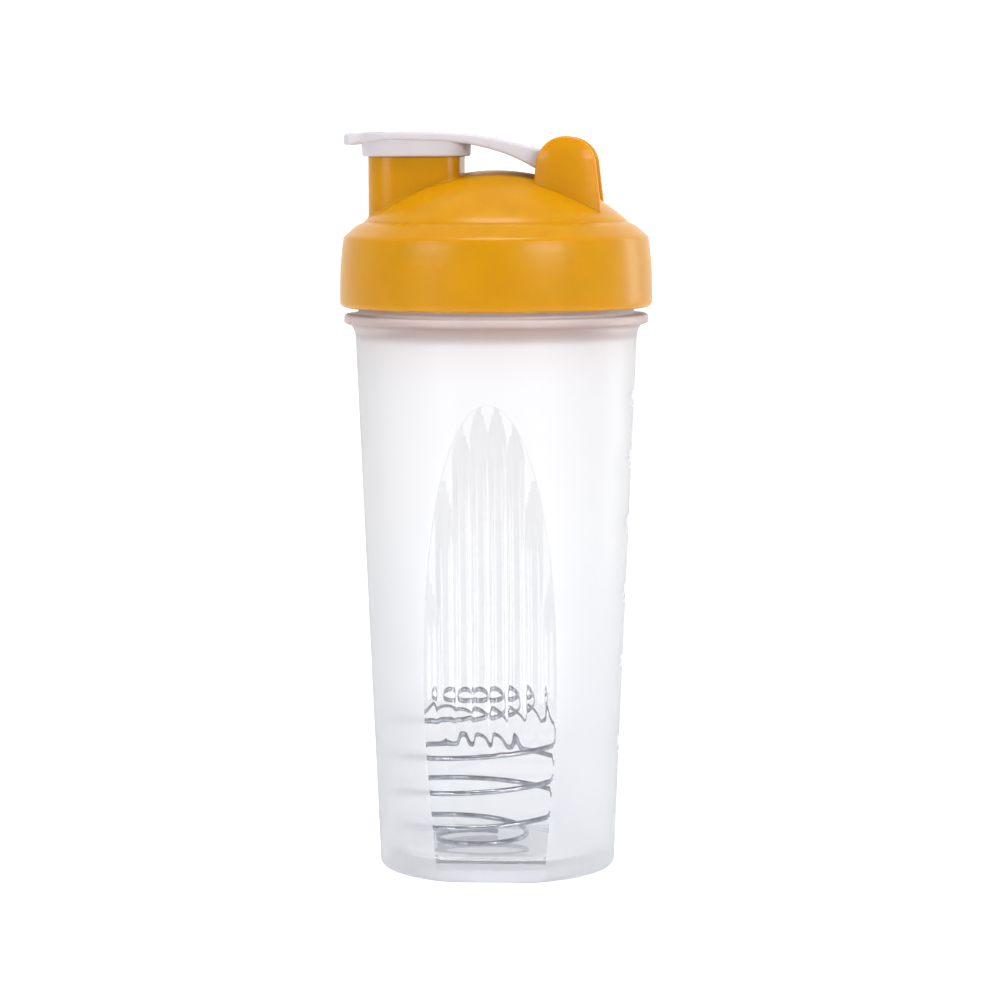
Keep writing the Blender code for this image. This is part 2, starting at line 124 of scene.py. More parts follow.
# Graduations on the +X side: a numeral above each tick
MARK_HEIGHTS = (0.0345, 0.0587, 0.0803, 0.1009, 0.1202, 0.1384)
MARK_STEP = 100
MARK_ANGLE = -6.0
MARK_RELIEF = 0.0002
MARK_SIZE = 0.0046
MARK_RISE = 0.0022
MARK_TICK_WIDTH = 0.0044
MARK_TICK_HEIGHT = 0.0005
MARK_TICK_COLUMNS = 9

# Lid. The crease is (outwards, downwards) from the dome's edge.
LID_STEPS = 168
LID_BOTTOM = 0.168
LID_BOTTOM_RADIUS = 0.0465
LID_BOTTOM_ROUNDING = 0.0017
LID_SHOULDER_RADIUS = 0.0455
LID_SHOULDER_TOP_Z = 0.19
LID_SHOULDER_ROUNDING = 0.0022
LID_SKIRT_CURVE = 3
LID_SKIRT_ROWS = 11
LID_CREASE = ((0.0003, 0.0006), (0.0014, 0.0011), (0.003, 0.0019))
LID_INNER_RADIUS = 0.0441
LID_LAND_Z = 0.187
DOME_TOP = 0.2085
DOME_RADIUS = 0.0588
DOME_EDGE_RADIUS = 0.0387
DOME_WALL = 0.0018
SEAL_RING_OUTER = 0.0389
SEAL_RING_INNER = 0.0374
SEAL_RING_BOTTOM = 0.181
LID_THREAD_RADIUS = 0.0437
LID_THREAD_TURNS = (0.3, 1.5)
LID_THREAD_TUBE = 0.0013

# Spout
SPOUT_OUTER_X = -0.0376
SPOUT_INNER_X = -0.0099
SPOUT_HALF_WIDTH = 0.0135
SPOUT_OUTER_CORNER = 0.009
SPOUT_INNER_CORNER = 0.0045
SPOUT_WALL = 0.0019
SPOUT_BOTTOM = 0.188
SPOUT_TOP = 0.216
SPOUT_RIM_ROUNDING = 0.0005
SPOUT_FILLET = 0.0008
SPOUT_FILLET_OVERLAP = 0.00012
SPOUT_RIM_TURNS = (0, 30, 60, 90)

# Hinge. The ears' outer faces swell by (inset from the outline, height over the rim).
PIVOT_X = 0.0215
PIVOT_Z = 0.2093
EAR_TOP_RADIUS = 0.0088
EAR_ARC_Z = 0.2097
EAR_LEFT_FOOT_X = 0.0108
EAR_RIGHT_FOOT_X = 0.0324
EAR_FOOT_Z = 0.192
EAR_THICKNESS = 0.0035
EAR_GAP = 0.0003
EAR_RIM_ROUNDING = 0.0008
EAR_RIM_DROP = 0.0004
EAR_PILLOW = ((0.0012, 0.0002), (0.0018, 0.00042), (0.0026, 0.0007), (0.0036, 0.00096), (0.005, 0.00116),
              (0.0065, 0.00125), (0.0082, 0.0013))
KNUCKLE_RADIUS = 0.004
KNUCKLE_HALF_WIDTH = 0.0142
SOCKET_RADIUS = 0.0019
SOCKET_DEPTH = 0.0021
TRUNNION_RADIUS = 0.0016

# Flip cap. The first sections at the tab's tip are squeezed to round it. The arm's shoulder is measured
# inwards from the plate's end: where its line begins, where it takes over, and where it starts to narrow.
CAP_TOP_LINE = ((-0.0448, 0.2191), (-0.0425, 0.2196), (-0.036, 0.2199), (-0.028, 0.22), (-0.02, 0.2199),
                (-0.013, 0.2196), (-0.006, 0.219), (0.0005, 0.2179), (0.0065, 0.2165), (0.0125, 0.2149),
                (0.018, 0.2135), (0.0215, 0.2133))
CAP_UNDER_LINE = ((-0.0448, 0.2161), (-0.0425, 0.216), (-0.0395, 0.2166), (-0.03, 0.2175), (-0.014, 0.217),
                  (-0.0075, 0.2163), (-0.0015, 0.2149), (0.0035, 0.2134), (0.0085, 0.2112), (0.0135, 0.2084),
                  (0.0187, 0.2064), (0.0215, 0.2062))
CAP_PLATE_OVERHANG = 0.0026
CAP_EDGE_ROUNDING = 0.0009
CAP_TAB_TIP_X = -0.0448
CAP_TAB_HALF_WIDTH = 0.01
CAP_TAB_CORNER = 0.0035
CAP_TAB_TIP_SQUEEZE = (0.0005, 0.0002, 0.00005)
CAP_TAB_BLEND = 0.0016
CAP_ARM_SHOULDER = (0.009, 0.005, 0.004)
CAP_ARM_NECK_X = 0.0085
CAP_ARM_END_X = 0.03
CAP_STEEP_SPANS = ((-1, -0.037), (-0.013, 0.0))
CAP_STATION_STEPS = (0.0003, 0.0007)
CAP_SKIRT_GAP = 0.0006
CAP_SKIRT_WALL = 0.0012
CAP_SKIRT_BOTTOM = 0.2126
CAP_SKIRT_ROUNDING = 0.0008
CAP_PLUG_GAP = 0.0008
CAP_PLUG_WALL = 0.0015
CAP_PLUG_BOTTOM = 0.2132
CAP_INSIDE_TOP = 0.2182
CAP_INSIDE_DROP = 0.0006
CAP_SOLID_OVERLAP = 0.0004

# Whisk
WIRE_RADIUS = 0.00078
WHISK_CENTRE_X = -0.0052
WHISK_BASE_Z = 0.0071
WHISK_START_TURN = 0.194
WHISK_TURNS = 5.78
WHISK_MAIN_RADIUS = 0.0268
WHISK_BOTTOM_RADIUS = 0.0126
WHISK_BOTTOM_GROWTH = 0.0017
WHISK_TOP_RADIUS = 0.0136
WHISK_TOP_GROWTH = 0.0016
WHISK_WIDEN = (0.8, 1.55)
WHISK_NARROW = (4.25, 4.85)
WHISK_FLAT_PITCH = 0.0019
WHISK_MAIN_PITCH = 0.0105
WHISK_CLIMB = (0.93, 4.85)
WHISK_CLIMB_EASE = 0.3
WHISK_POINTS_PER_TURN = 56
WIRE_SIDES = 14

# Camera
CAMERA_AZIMUTH = 3.63
CAMERA_DISTANCE = 1.0369
CAMERA_HEIGHT = 0.2116
CAMERA_AIM = (0.001, 0.0, 0.11)
CAMERA_LENS = 125.03
CAMERA_ROLL = -0.14

# Lights: (name, place, aim, width, height, power in watts)
LIGHTS = (
    ("left_front", (-0.95, -0.92, 0.57), (0, 0, 0.18), 0.58, 0.17, 4.9),
    ("left_low", (-0.95, -0.92, 0.08), (0, 0, 0.08), 0.3, 0.24, 0.5),
    ("left_card", (-0.18, -0.19, 0.003), (-0.16, -0.17, 0.3), 0.15, 0.15, 0.26),
    ("right_front", (0.87, -1.0, 0.57), (0, 0, 0.18), 0.62, 0.17, 7.6),
    ("right_card", (0.18, -0.19, 0.003), (0.16, -0.17, 0.3), 0.15, 0.15, 0.26),
    ("right_rim", (1.15, 0.72, 0.35), (0, 0, 0.14), 0.3, 0.8, 3.2),
    ("overhead", (0.0, -0.3, 1.4), (0, 0, 0.1), 0.7, 0.7, 14.2),
)

# Studio: the surroundings' strength by direction, and the floor's glow by distance in front of the object
SKY_FRONT_TO_BACK = ((-0.35, 0.3), (0.93, 1.3))
SKY_UPWARDS = ((0.5, 1.0), (0.95, 0.4))
SKY_SIDE_SLOPE = 0.03
SKY_TINTS = ((0.25, (0.86, 0.9, 1.0)), (0.9, (1.0, 1.0, 1.0)))
FLOOR_REACH = 6.0
FLOOR_DROP = 0.0001
FLOOR_GLOW = 0.92
FLOOR_FADE = ((-1.1, 0.62), (-0.22, 1.0))


# ---------------------------------------------------------------- shapes

def mesh_object(name, points, faces, kinds=None):
    """A mesh object from points and faces; kinds gives each face its material index."""
    mesh = bpy.data.meshes.new(name)
    mesh.from_pydata(points, [], faces)
    if kinds:
        mesh.polygons.foreach_set("material_index", kinds)
    work = bmesh.new()
    work.from_mesh(mesh)
    bmesh.ops.remove_doubles(work, verts=work.verts, dist=WELD)
    bmesh.ops.dissolve_degenerate(work, edges=work.edges, dist=TOLERANCE)
    bmesh.ops.recalc_face_normals(work, faces=work.faces)
    work.to_mesh(mesh)
    work.free()
    obj = bpy.data.objects.new(name, mesh)
    bpy.context.scene.collection.objects.link(obj)
    return obj


def shade(obj, angle=35):
    obj.data.shade_smooth()
    obj.data.set_sharp_from_angle(angle=math.radians(angle))
    return obj


def ring_faces(rows, columns):
    """Quads between rows of points, each row a closed loop of that many columns."""
    faces = []
    for i in range(rows - 1):
        for j in range(columns):
            after = (j + 1) % columns
            low, high = i * columns, (i + 1) * columns
            faces.append((low + j, low + after, high + after, high + j))
    return faces


def loft(name, rings):
    """A solid through closed rings of points, all with the same count, closed at both ends."""
    count = len(rings[0])
    points = [point for ring in rings for point in ring]
    faces = ring_faces(len(rings), count)
    faces.append(tuple(range(count)))
    faces.append(tuple(range((len(rings) - 1) * count, len(rings) * count)))
    return mesh_object(name, points, faces)


def turned(name, profile, steps):
    """A solid turned about Z from (radius, height) points that start and end on the axis."""
    points = []
    for i in range(steps):
        angle = 2 * math.pi * i / steps
        points += [(r * math.cos(angle), r * math.sin(angle), z) for r, z in profile]
    count = len(profile)
    faces = []
    for i in range(steps):
        after = (i + 1) % steps
        for j in range(count - 1):
            faces.append((i * count + j, i * count + j + 1, after * count + j + 1, after * count + j))
    return mesh_object(name, points, faces)


def tube(name, path, radius, sides):
    """A round tube along a path, with slightly rounded ends."""
    last = len(path) - 1
    lip = radius * 0.25
    side = Vector((0, 0, 1))
    rings = []
    for i, point in enumerate(path):
        ahead = path[min(i + 1, last)] - path[max(i - 1, 0)]
        ahead.normalize()
        side = (side - ahead * side.dot(ahead)).normalized()
        other = ahead.cross(side)
        if i == 0:
            rings.append((point - ahead * lip, radius - lip, side, other))
        rings.append((point, radius, side, other))
        if i == last:
            rings.append((point + ahead * lip, radius - lip, side, other))
    angles = [2 * math.pi * j / sides for j in range(sides)]
    return loft(name, [[centre + side * reach * math.cos(angle) + other * reach * math.sin(angle)
                        for angle in angles] for centre, reach, side, other in rings])


def arc(centre, radius, start, end, steps):
    """Points on an arc, in degrees, ends included."""
    points = []
    for i in range(steps + 1):
        angle = math.radians(start + (end - start) * i / steps)
        points.append((centre[0] + radius * math.cos(angle), centre[1] + radius * math.sin(angle)))
    return points


def combine(obj, other, operation):
    """Joins or cuts with another object, which is used up."""
    modifier = obj.modifiers.new("Combine", "BOOLEAN")
    modifier.object = other
    modifier.operation = operation
    modifier.solver = "EXACT"
    bpy.context.view_layer.update()
    graph = bpy.context.evaluated_depsgraph_get()
    made = bpy.data.meshes.new_from_object(obj.evaluated_get(graph))
    obj.modifiers.clear()
    old = obj.data
    obj.data = made
    bpy.data.meshes.remove(old)
    bpy.data.objects.remove(other, do_unlink=True)
    return obj


def gather(name, objects):
    """One object from several closed ones."""
    work = bmesh.new()
    for obj in objects:
        work.from_mesh(obj.data)
    mesh = bpy.data.meshes.new(name)
    work.to_mesh(mesh)
    work.free()
    for obj in objects:
        bpy.data.objects.remove(obj, do_unlink=True)
    made = bpy.data.objects.new(name, mesh)
    bpy.context.scene.collection.objects.link(made)
    return made


def smooth_step(value):
    value = min(max(value, 0), 1)
    return value * value * (3 - 2 * value)


def between(line, x):
    """Height at x of a line of straight pieces through (x, z) points."""
    for (x0, z0), (x1, z1) in zip(line, line[1:]):
        if x <= x1:
            return z0 + (z1 - z0) * (x - x0) / (x1 - x0)
    return line[-1][1]


def softened(line, x, reach=0.0012):
    """The line's height at x, averaged over a short reach to round its joints."""
    lo, hi = line[0][0], line[-1][0]
    reach = min(reach, x - lo, hi - x)
    taps = (-1, -0.5, 0, 0.5, 1)
    return sum(between(line, x + reach * tap) for tap in taps) / len(taps)


# ---------------------------------------------------------------- cup

def cup_radius(height):
    return CUP_BASE_RADIUS + (CUP_TOP_RADIUS - CUP_BASE_RADIUS) * height / CUP_BODY_TOP


def facet_offset(height):
    """Distance of the facets' outer face from the axis."""
    rise = max(0.0, height - FACET_ARC_START)
    return FACET_OFFSET + FACET_ARC_RADIUS - math.sqrt(FACET_ARC_RADIUS**2 - rise**2)


def thread_height(angle, height):
    """How far the neck's thread stands out at an angle in radians and a height."""
    part = (angle / (2 * math.pi)) % 1
    most = 0.0
    for turn in (part, part + 1):
        if turn > THREAD_TURNS:
            continue
        fade = smooth_step(min(turn, THREAD_TURNS - turn) / THREAD_FADE)
        away = abs(height - THREAD_BASE - THREAD_LEAD * turn) / THREAD_HALF_WIDTH
        most = max(most, THREAD_HEIGHT * fade * smooth_step(1.35 * (1 - away)))
    return most


def flute_at(x):
    """The flute at x: how far x is from its middle, as -1 to 1, and its own lower and upper end."""
    centre = (math.floor(x / FLUTE_SPACING) + 0.5) * FLUTE_SPACING
    rank = min(int(abs(centre) / FLUTE_SPACING), len(FLUTE_ENDS) - 1)
    return (x - centre) / (FLUTE_SPACING / 2), FLUTE_ENDS[rank]


def flute_depth(x, height):
    """Depth of the flutes at x, both faces together: the inner face has FLUTE_INNER_SHARE of it."""
    along, (low, high) = flute_at(x)
    if not low < height < high:
        return 0.0
    sunk = FLUTE_DEPTH * (1 - smooth_step((height - low) / FLUTE_BOTTOM_RAMP))
    sunk += FLUTE_DEPTH * (1 - smooth_step((high - height) / FLUTE_TOP_RAMP))
    return max(0.0, FLUTE_DEPTH * (1 - along * along) - sunk)


def clear_top(x):
    """Height where the window's clear plastic ends at x: a pointed tip on each flute."""
    along, (_, high) = flute_at(x)
    return high + FLUTE_TIP_RISE - FLUTE_TIP_DROP * abs(along)


def window_grid():
    """The x of each column of points across the flutes."""
    count = len(FLUTE_ENDS)
    grid = []
    for i in range(-count, count):
        centre = (i + 0.5) * FLUTE_SPACING
        grid += [centre + shape * FLUTE_SPACING / 2 for shape in FLUTE_SHAPE]
    return grid + [count * FLUTE_SPACING]


def facet_row(side, height, radius, offset, kind):
    """One section of the front (side 1) or rear (side -1) facet, in the order of the angle."""
    half = math.sqrt(max(0.0, radius**2 - offset**2))
    edge = min(FACET_EDGE, half / 3)
    flat = half - 2 * edge
    share = {"inner": FLUTE_INNER_SHARE, "outer": FLUTE_INNER_SHARE - 1}.get(kind, 0)
    fluted = side > 0 and half > 2 * FACET_EDGE
    points = [(-half + edge, 0)]
    for x in window_grid():
        x = min(max(x, -flat), flat)
        fade = smooth_step((flat - abs(x)) / FLUTE_MARGIN) if fluted else 0
        points.append((x, flute_depth(x, height) * share * fade))
    points.append((half - edge, 0))
    return [(side * x, -side * (offset + depth), height) for x, depth in points]


def round_row(start, height, radius, offset, kind):
    """One section of the round side after the facet at an angle, with the thread on the neck."""
    half = math.sqrt(max(0.0, radius**2 - offset**2))
    corner = math.asin(min(1.0, half / radius)) + min(FACET_EDGE, half / 3) / radius
    span = math.pi - 2 * corner
    points = []
    for i in range(CUP_SIDE_COLUMNS + 1):
        angle = start + corner + span * i / CUP_SIDE_COLUMNS
        reach = radius + (thread_height(angle, height) if kind == "neck" else 0)
        points.append((reach * math.cos(angle), reach * math.sin(angle), height))
    return points


def cup_row(height, radius, offset, kind):
    """One section of the cup: front facet, +X side, rear facet, -X side, with the same count in each row."""
    section = (height, radius, min(offset, radius), kind)
    return [
        *facet_row(1, *section),
        *round_row(-math.pi / 2, *section),
        *facet_row(-1, *section),
        *round_row(math.pi / 2, *section),
    ]


def body_heights(low, high):
    """Row heights of the cup's body, closer together round the facets' tops."""
    heights = [low]
    while heights[-1] < high - TOLERANCE:
        near = FACET_APEX[0] < heights[-1] < FACET_APEX[1]
        heights.append(min(high, heights[-1] + (FACET_APEX_ROW_STEP if near else CUP_ROW_STEP)))
    return heights


def foot_rows():
    """The recess under the foot, the ring that it stands on and its rounded edge."""
    ring = FOOT_INNER_RADIUS + FOOT_HEIGHT / 2
    radii = [FOOT_INNER_RADIUS * i / RECESS_RINGS for i in range(RECESS_RINGS)]
    rows = [(FOOT_HEIGHT, radius, NO_FACET, "under") for radius in radii]
    rows += [
        (FOOT_HEIGHT, FOOT_INNER_RADIUS - FOOT_RING_BREAK, NO_FACET, "foot"),
        (FOOT_HEIGHT - EDGE_BREAK, FOOT_INNER_RADIUS, NO_FACET, "foot"),
        (EDGE_BREAK, ring - EDGE_BREAK, NO_FACET, "foot"),
        (0, ring, NO_FACET, "foot"),
    ]
    edge = arc((cup_radius(FOOT_ROUNDING) - FOOT_ROUNDING, FOOT_ROUNDING), FOOT_ROUNDING, -90, 0, 7)
    return rows + [(z, r, facet_offset(z), "outer") for r, z in edge]


def side_rows():
    """The outer side up to the collar."""
    rows = []
    for z in body_heights(WINDOW_BOTTOM, CUP_BODY_TOP - FLARE_BLEND):
        rows.append((z, cup_radius(z), facet_offset(z) if z < FACET_APEX[1] else NO_FACET, "outer"))
    return rows


def collar_rows():
    """The flare over the side's top edge, and the collar."""
    flare_z = (COLLAR_BOTTOM + CUP_BODY_TOP) / 2 + COLLAR_ROUNDING
    centre = COLLAR_RADIUS - COLLAR_ROUNDING
    outline = [
        (cup_radius(CUP_BODY_TOP) + FLARE_LIP, CUP_BODY_TOP),
        (COLLAR_FLARE_RADIUS - FLARE_HOLLOW, (CUP_BODY_TOP + flare_z) / 2),
        (COLLAR_FLARE_RADIUS + FLARE_LIP, flare_z),
        *arc((centre, COLLAR_BOTTOM + COLLAR_ROUNDING), COLLAR_ROUNDING, -90, 0, 5),
        *arc((centre, COLLAR_TOP - COLLAR_ROUNDING), COLLAR_ROUNDING, 0, 90, 5),
        (NECK_RADIUS + NECK_FOOT_BREAK, COLLAR_TOP),
    ]
    return [(z, r, NO_FACET, "outer") for r, z in outline]


def neck_rows():
    """The threaded neck, its rim, and its inside down to the collar."""
    rim_z = NECK_TOP - NECK_ROUNDING
    rows = []
    z = COLLAR_TOP + NECK_FOOT_BREAK
    while z < rim_z - THREAD_ROW_STEP:
        rows.append((z, NECK_RADIUS, NO_FACET, "neck"))
        z += THREAD_ROW_STEP
    outline = [
        *arc((NECK_RADIUS - NECK_ROUNDING, rim_z), NECK_ROUNDING, 0, 90, 4),
        *arc((NECK_INNER_RADIUS + NECK_ROUNDING, rim_z), NECK_ROUNDING, 90, 180, 4),
        (NECK_INNER_RADIUS, COLLAR_BOTTOM + 0.001),
        (NECK_INNER_RADIUS + FLARE_LIP, COLLAR_BOTTOM),
    ]
    return rows + [(z, r, NO_FACET, "inner") for r, z in outline]


def inside_rows():
    """The inner side down to the floor, the rounding at its foot, and the floor in to the axis."""
    low = FLOOR_TOP + FLOOR_ROUNDING
    top = CUP_BODY_TOP - CUP_WALL
    rows = [(top + FLARE_BLEND, cup_radius(CUP_BODY_TOP) - CUP_WALL - EDGE_BREAK, NO_FACET, "inner")]
    for z in reversed(body_heights(low, top)):
        cut = z < FACET_APEX[1] + FACET_INNER_APEX_RISE
        offset = facet_offset(z) - CUP_WALL if cut else NO_FACET
        rows.append((z, cup_radius(z) - CUP_WALL, offset, "inner"))
    side = cup_radius(low) - CUP_WALL
    for r, z in arc((side - FLOOR_ROUNDING, low), FLOOR_ROUNDING, 0, -90, 7)[1:]:
        offset = facet_offset(z) - CUP_WALL - (side - r) * FACET_FLOOR_EASE
        rows.append((z, r, max(offset, 0), "inner"))
    flat_offset = facet_offset(0) - CUP_WALL - FLOOR_ROUNDING * FACET_FLOOR_EASE
    for i in range(1, RECESS_RINGS + 1):
        part = 1 - i / RECESS_RINGS
        rows.append((FLOOR_TOP, (side - FLOOR_ROUNDING) * part, flat_offset * part, "inner"))
    return rows


def cup_rows():
    """(height, radius, facet offset, kind) up the outside, over the rim and down the inside."""
    return foot_rows() + side_rows() + collar_rows() + neck_rows() + inside_rows()


def cup_kinds(rows, columns):
    """Material index of each face, 0 frosted and 1 clear: the outer skin is frosted except in the window."""
    grid = window_grid()
    last = len(grid)
    kinds = []
    for (height, _, _, kind), (_, _, _, next_kind) in zip(rows, rows[1:]):
        in_foot = kind in ("foot", "under")
        outside = kind in ("outer", "neck") and next_kind in ("outer", "neck")
        for j in range(columns):
            in_window = j <= last and height > WINDOW_BOTTOM - TOLERANCE
            if 0 < j < last:
                in_window = in_window and height < clear_top((grid[j - 1] + grid[j]) / 2)
            kinds.append(0 if in_foot or (outside and not in_window) else 1)
    return kinds


def make_cup(frosted, clear):
    """The cup as one closed surface."""
    rows = cup_rows()
    sections = [cup_row(height, max(radius, AXIS_RADIUS), offset, kind)
                for height, radius, offset, kind in rows]
    columns = len(sections[0])
    points = [point for section in sections for point in section]
    cup = mesh_object("cup_body", points, ring_faces(len(rows), columns), cup_kinds(rows, columns))
    cup.data.materials.append(frosted)
    cup.data.materials.append(clear)
    shade(cup, 60)
    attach(cup, "cup")
    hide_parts("cup")
    return cup


def numeral(text):
    """Flat-sided raised numeral, centred on its own origin, as (points, faces)."""
    data = bpy.data.curves.new("numeral", "FONT")
    data.body = text
    data.size = MARK_SIZE
    data.align_x = "CENTER"
    data.extrude = MARK_RELIEF
    data.resolution_u = 3
    obj = bpy.data.objects.new("numeral", data)
    bpy.context.scene.collection.objects.link(obj)
    bpy.context.view_layer.update()
    mesh = bpy.data.meshes.new_from_object(obj.evaluated_get(bpy.context.evaluated_depsgraph_get()))
    points = [tuple(vertex.co) for vertex in mesh.vertices]
    faces = [tuple(polygon.vertices) for polygon in mesh.polygons]
    bpy.data.objects.remove(obj, do_unlink=True)
    bpy.data.meshes.remove(mesh)
    return points, faces


def tick():
    """A raised bar, centred on its own origin, as (points, faces), in columns that can bend round the cup."""
    half = MARK_TICK_WIDTH / 2
    columns = MARK_TICK_COLUMNS
    points = []
    for i in range(columns):
        u = -half + 2 * half * i / (columns - 1)
        for v, w in ((0, -1), (0, 1), (MARK_TICK_HEIGHT, 1), (MARK_TICK_HEIGHT, -1)):
            points.append((u, v, w * MARK_RELIEF))
    faces = [(0, 1, 2, 3), tuple(4 * (columns - 1) + k for k in (3, 2, 1, 0))]
    for i in range(columns - 1):
        for k in range(4):
            after = (k + 1) % 4
            faces.append((4 * i + k, 4 * i + after, 4 * i + 4 + after, 4 * i + 4 + k))
    return points, faces


def make_marks(moulded):
    """Raised ticks and numerals wrapped on the cup's +X side."""
    all_points = []
    all_faces = []
    for i, height in enumerate(MARK_HEIGHTS):
        for (points, faces), rise in ((tick(), 0), (numeral(str(MARK_STEP * (i + 1))), MARK_RISE)):
            first = len(all_points)
            for u, v, w in points:
                z = height + rise + v
                radius = cup_radius(z)
                angle = math.radians(MARK_ANGLE) + u / radius
                all_points.append(((radius + w) * math.cos(angle), (radius + w) * math.sin(angle), z))
            all_faces += [tuple(first + k for k in face) for face in faces]
    marks = mesh_object("cup_marks", all_points, all_faces)
    marks.data.materials.append(moulded)
    shade(marks, 30)
    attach(marks, "cup")
    return marks


# ---------------------------------------------------------------- whisk

def soft_ramp(value, ease):
    """Zero below, value above, and a smooth bend between -ease and ease."""
    if value < -ease:
        return 0
    if value > ease:
        return value
    return (value + ease) ** 2 / (4 * ease)


def whisk_radius(turn):
    widened = smooth_step((turn - WHISK_WIDEN[0]) / (WHISK_WIDEN[1] - WHISK_WIDEN[0]))
    narrowed = smooth_step((turn - WHISK_NARROW[0]) / (WHISK_NARROW[1] - WHISK_NARROW[0]))
    if turn < WHISK_TURNS / 2:
        end = WHISK_BOTTOM_RADIUS + WHISK_BOTTOM_GROWTH * turn
    else:
        end = WHISK_TOP_RADIUS + WHISK_TOP_GROWTH * (WHISK_TURNS - turn)
    return end + (WHISK_MAIN_RADIUS - end) * (widened - narrowed)


def whisk_rise(turn):
    begin, end = WHISK_CLIMB
    climb = soft_ramp(turn - begin, WHISK_CLIMB_EASE) - soft_ramp(turn - end, WHISK_CLIMB_EASE)
    return WHISK_FLAT_PITCH * turn + (WHISK_MAIN_PITCH - WHISK_FLAT_PITCH) * climb


def make_whisk(steel):
    steps = round(WHISK_TURNS * WHISK_POINTS_PER_TURN)
    path = []
    for i in range(steps + 1):
        turn = WHISK_TURNS * i / steps
        angle = 2 * math.pi * (WHISK_START_TURN + turn)
        radius = whisk_radius(turn)
        path.append(Vector((WHISK_CENTRE_X + radius * math.cos(angle), radius * math.sin(angle),
                            WHISK_BASE_Z + whisk_rise(turn))))
    whisk = shade(tube("whisk_wire", path, WIRE_RADIUS, WIRE_SIDES), 40)
    whisk.data.materials.append(steel)
    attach(whisk, "whisk")
    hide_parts("whisk")
    return whisk


# ---------------------------------------------------------------- lid

def dome_arc(radius, edge_radius, steps):
    centre_z = DOME_TOP - DOME_RADIUS
    edge = math.asin(edge_radius / radius)
    return [(radius * math.sin(edge * i / steps), centre_z + radius * math.cos(edge * i / steps))
            for i in range(steps + 1)]


def dome_height(x, y):
    return DOME_TOP - DOME_RADIUS + math.sqrt(DOME_RADIUS**2 - x * x - y * y)


def lid_skirt():
    """The skirt's outer line from its top to its lower edge, with a slight belly."""
    top = LID_SHOULDER_TOP_Z - LID_SHOULDER_ROUNDING
    low = LID_BOTTOM + LID_BOTTOM_ROUNDING
    line = []
    for i in range(LID_SKIRT_ROWS):
        rise = 1 - i / LID_SKIRT_ROWS
        inset = (LID_BOTTOM_RADIUS - LID_SHOULDER_RADIUS) * rise**LID_SKIRT_CURVE
        line.append((LID_BOTTOM_RADIUS - inset, low + (top - low) * rise))
    return line


def lid_outer_profile():
    shoulder = LID_SHOULDER_ROUNDING
    low = LID_BOTTOM_ROUNDING
    crease = dome_height(DOME_EDGE_RADIUS, 0)
    return [
        *dome_arc(DOME_RADIUS, DOME_EDGE_RADIUS, 22),
        *[(DOME_EDGE_RADIUS + out, crease - down) for out, down in LID_CREASE],
        *arc((LID_SHOULDER_RADIUS - shoulder, LID_SHOULDER_TOP_Z - shoulder), shoulder, 62, 8, 8),
        *lid_skirt(),
        *arc((LID_BOTTOM_RADIUS - low, LID_BOTTOM + low), low, 0, -90, 4),
        (0, LID_BOTTOM),
    ]


def lid_cavity_profile():
    below = LID_BOTTOM - 0.005
    return [
        *dome_arc(DOME_RADIUS - DOME_WALL, SEAL_RING_INNER, 16),
        (SEAL_RING_INNER, SEAL_RING_BOTTOM + EDGE_BREAK),
        (SEAL_RING_INNER + EDGE_BREAK, SEAL_RING_BOTTOM),
        (SEAL_RING_OUTER - EDGE_BREAK, SEAL_RING_BOTTOM),
        (SEAL_RING_OUTER, SEAL_RING_BOTTOM + EDGE_BREAK),
        (SEAL_RING_OUTER, LID_LAND_Z),
        (LID_INNER_RADIUS, LID_LAND_Z),
        (LID_INNER_RADIUS, below),
        (0, below),
    ]


def spout_outline(inset, steps=14):
    """The spout's plan, moved inwards by inset, or outwards where it is negative."""
    outer_x = SPOUT_OUTER_X + inset
    inner_x = SPOUT_INNER_X - inset
    half = SPOUT_HALF_WIDTH - inset
    outer = SPOUT_OUTER_CORNER - inset
    inner = max(SPOUT_INNER_CORNER - inset, SPOUT_WALL / 2)
    return [
        *arc((inner_x - inner, -half + inner), inner, -90, 0, steps),
        *arc((inner_x - inner, half - inner), inner, 0, 90, steps),
        *arc((outer_x + outer, half - outer), outer, 90, 180, steps),
        *arc((outer_x + outer, -half + outer), outer, 180, 270, steps),
    ]


def spout_ring(inset, height):
    return [(x, y, height) for x, y in spout_outline(inset)]


def rim_rings(inset, direction):
    """Rings round the spout's rim, which moves in (1) or out (-1) from an inset as it rounds over."""
    rings = []
    for turn in SPOUT_RIM_TURNS:
        over = SPOUT_RIM_ROUNDING * (1 - math.cos(math.radians(turn)))
        height = SPOUT_TOP - SPOUT_RIM_ROUNDING * (1 - math.sin(math.radians(turn)))
        rings.append(spout_ring(inset + direction * over, height))
    return rings


def spout_wall():
    """The spout as a filled solid with a flared foot on the dome and a rounded rim."""
    rings = [spout_ring(-SPOUT_FILLET * 1.2, SPOUT_BOTTOM)]
    for turn in (90, 70, 50, 30, 12, 0):
        flare = SPOUT_FILLET * (1 - math.cos(math.radians(turn)))
        rise = SPOUT_FILLET * (1 - math.sin(math.radians(turn))) - SPOUT_FILLET_OVERLAP
        rings.append([(x, y, dome_height(x, y) + rise) for x, y in spout_outline(-flare)])
    return loft("spout", rings + rim_rings(0, 1))


def spout_bore():
    """The cutter for the spout's inside, which leaves the rim rounded."""
    mouth = spout_ring(SPOUT_WALL - SPOUT_RIM_ROUNDING, SPOUT_TOP + 0.003)
    return loft("spout_bore", [spout_ring(SPOUT_WALL, SPOUT_BOTTOM), *rim_rings(SPOUT_WALL, -1), mouth])


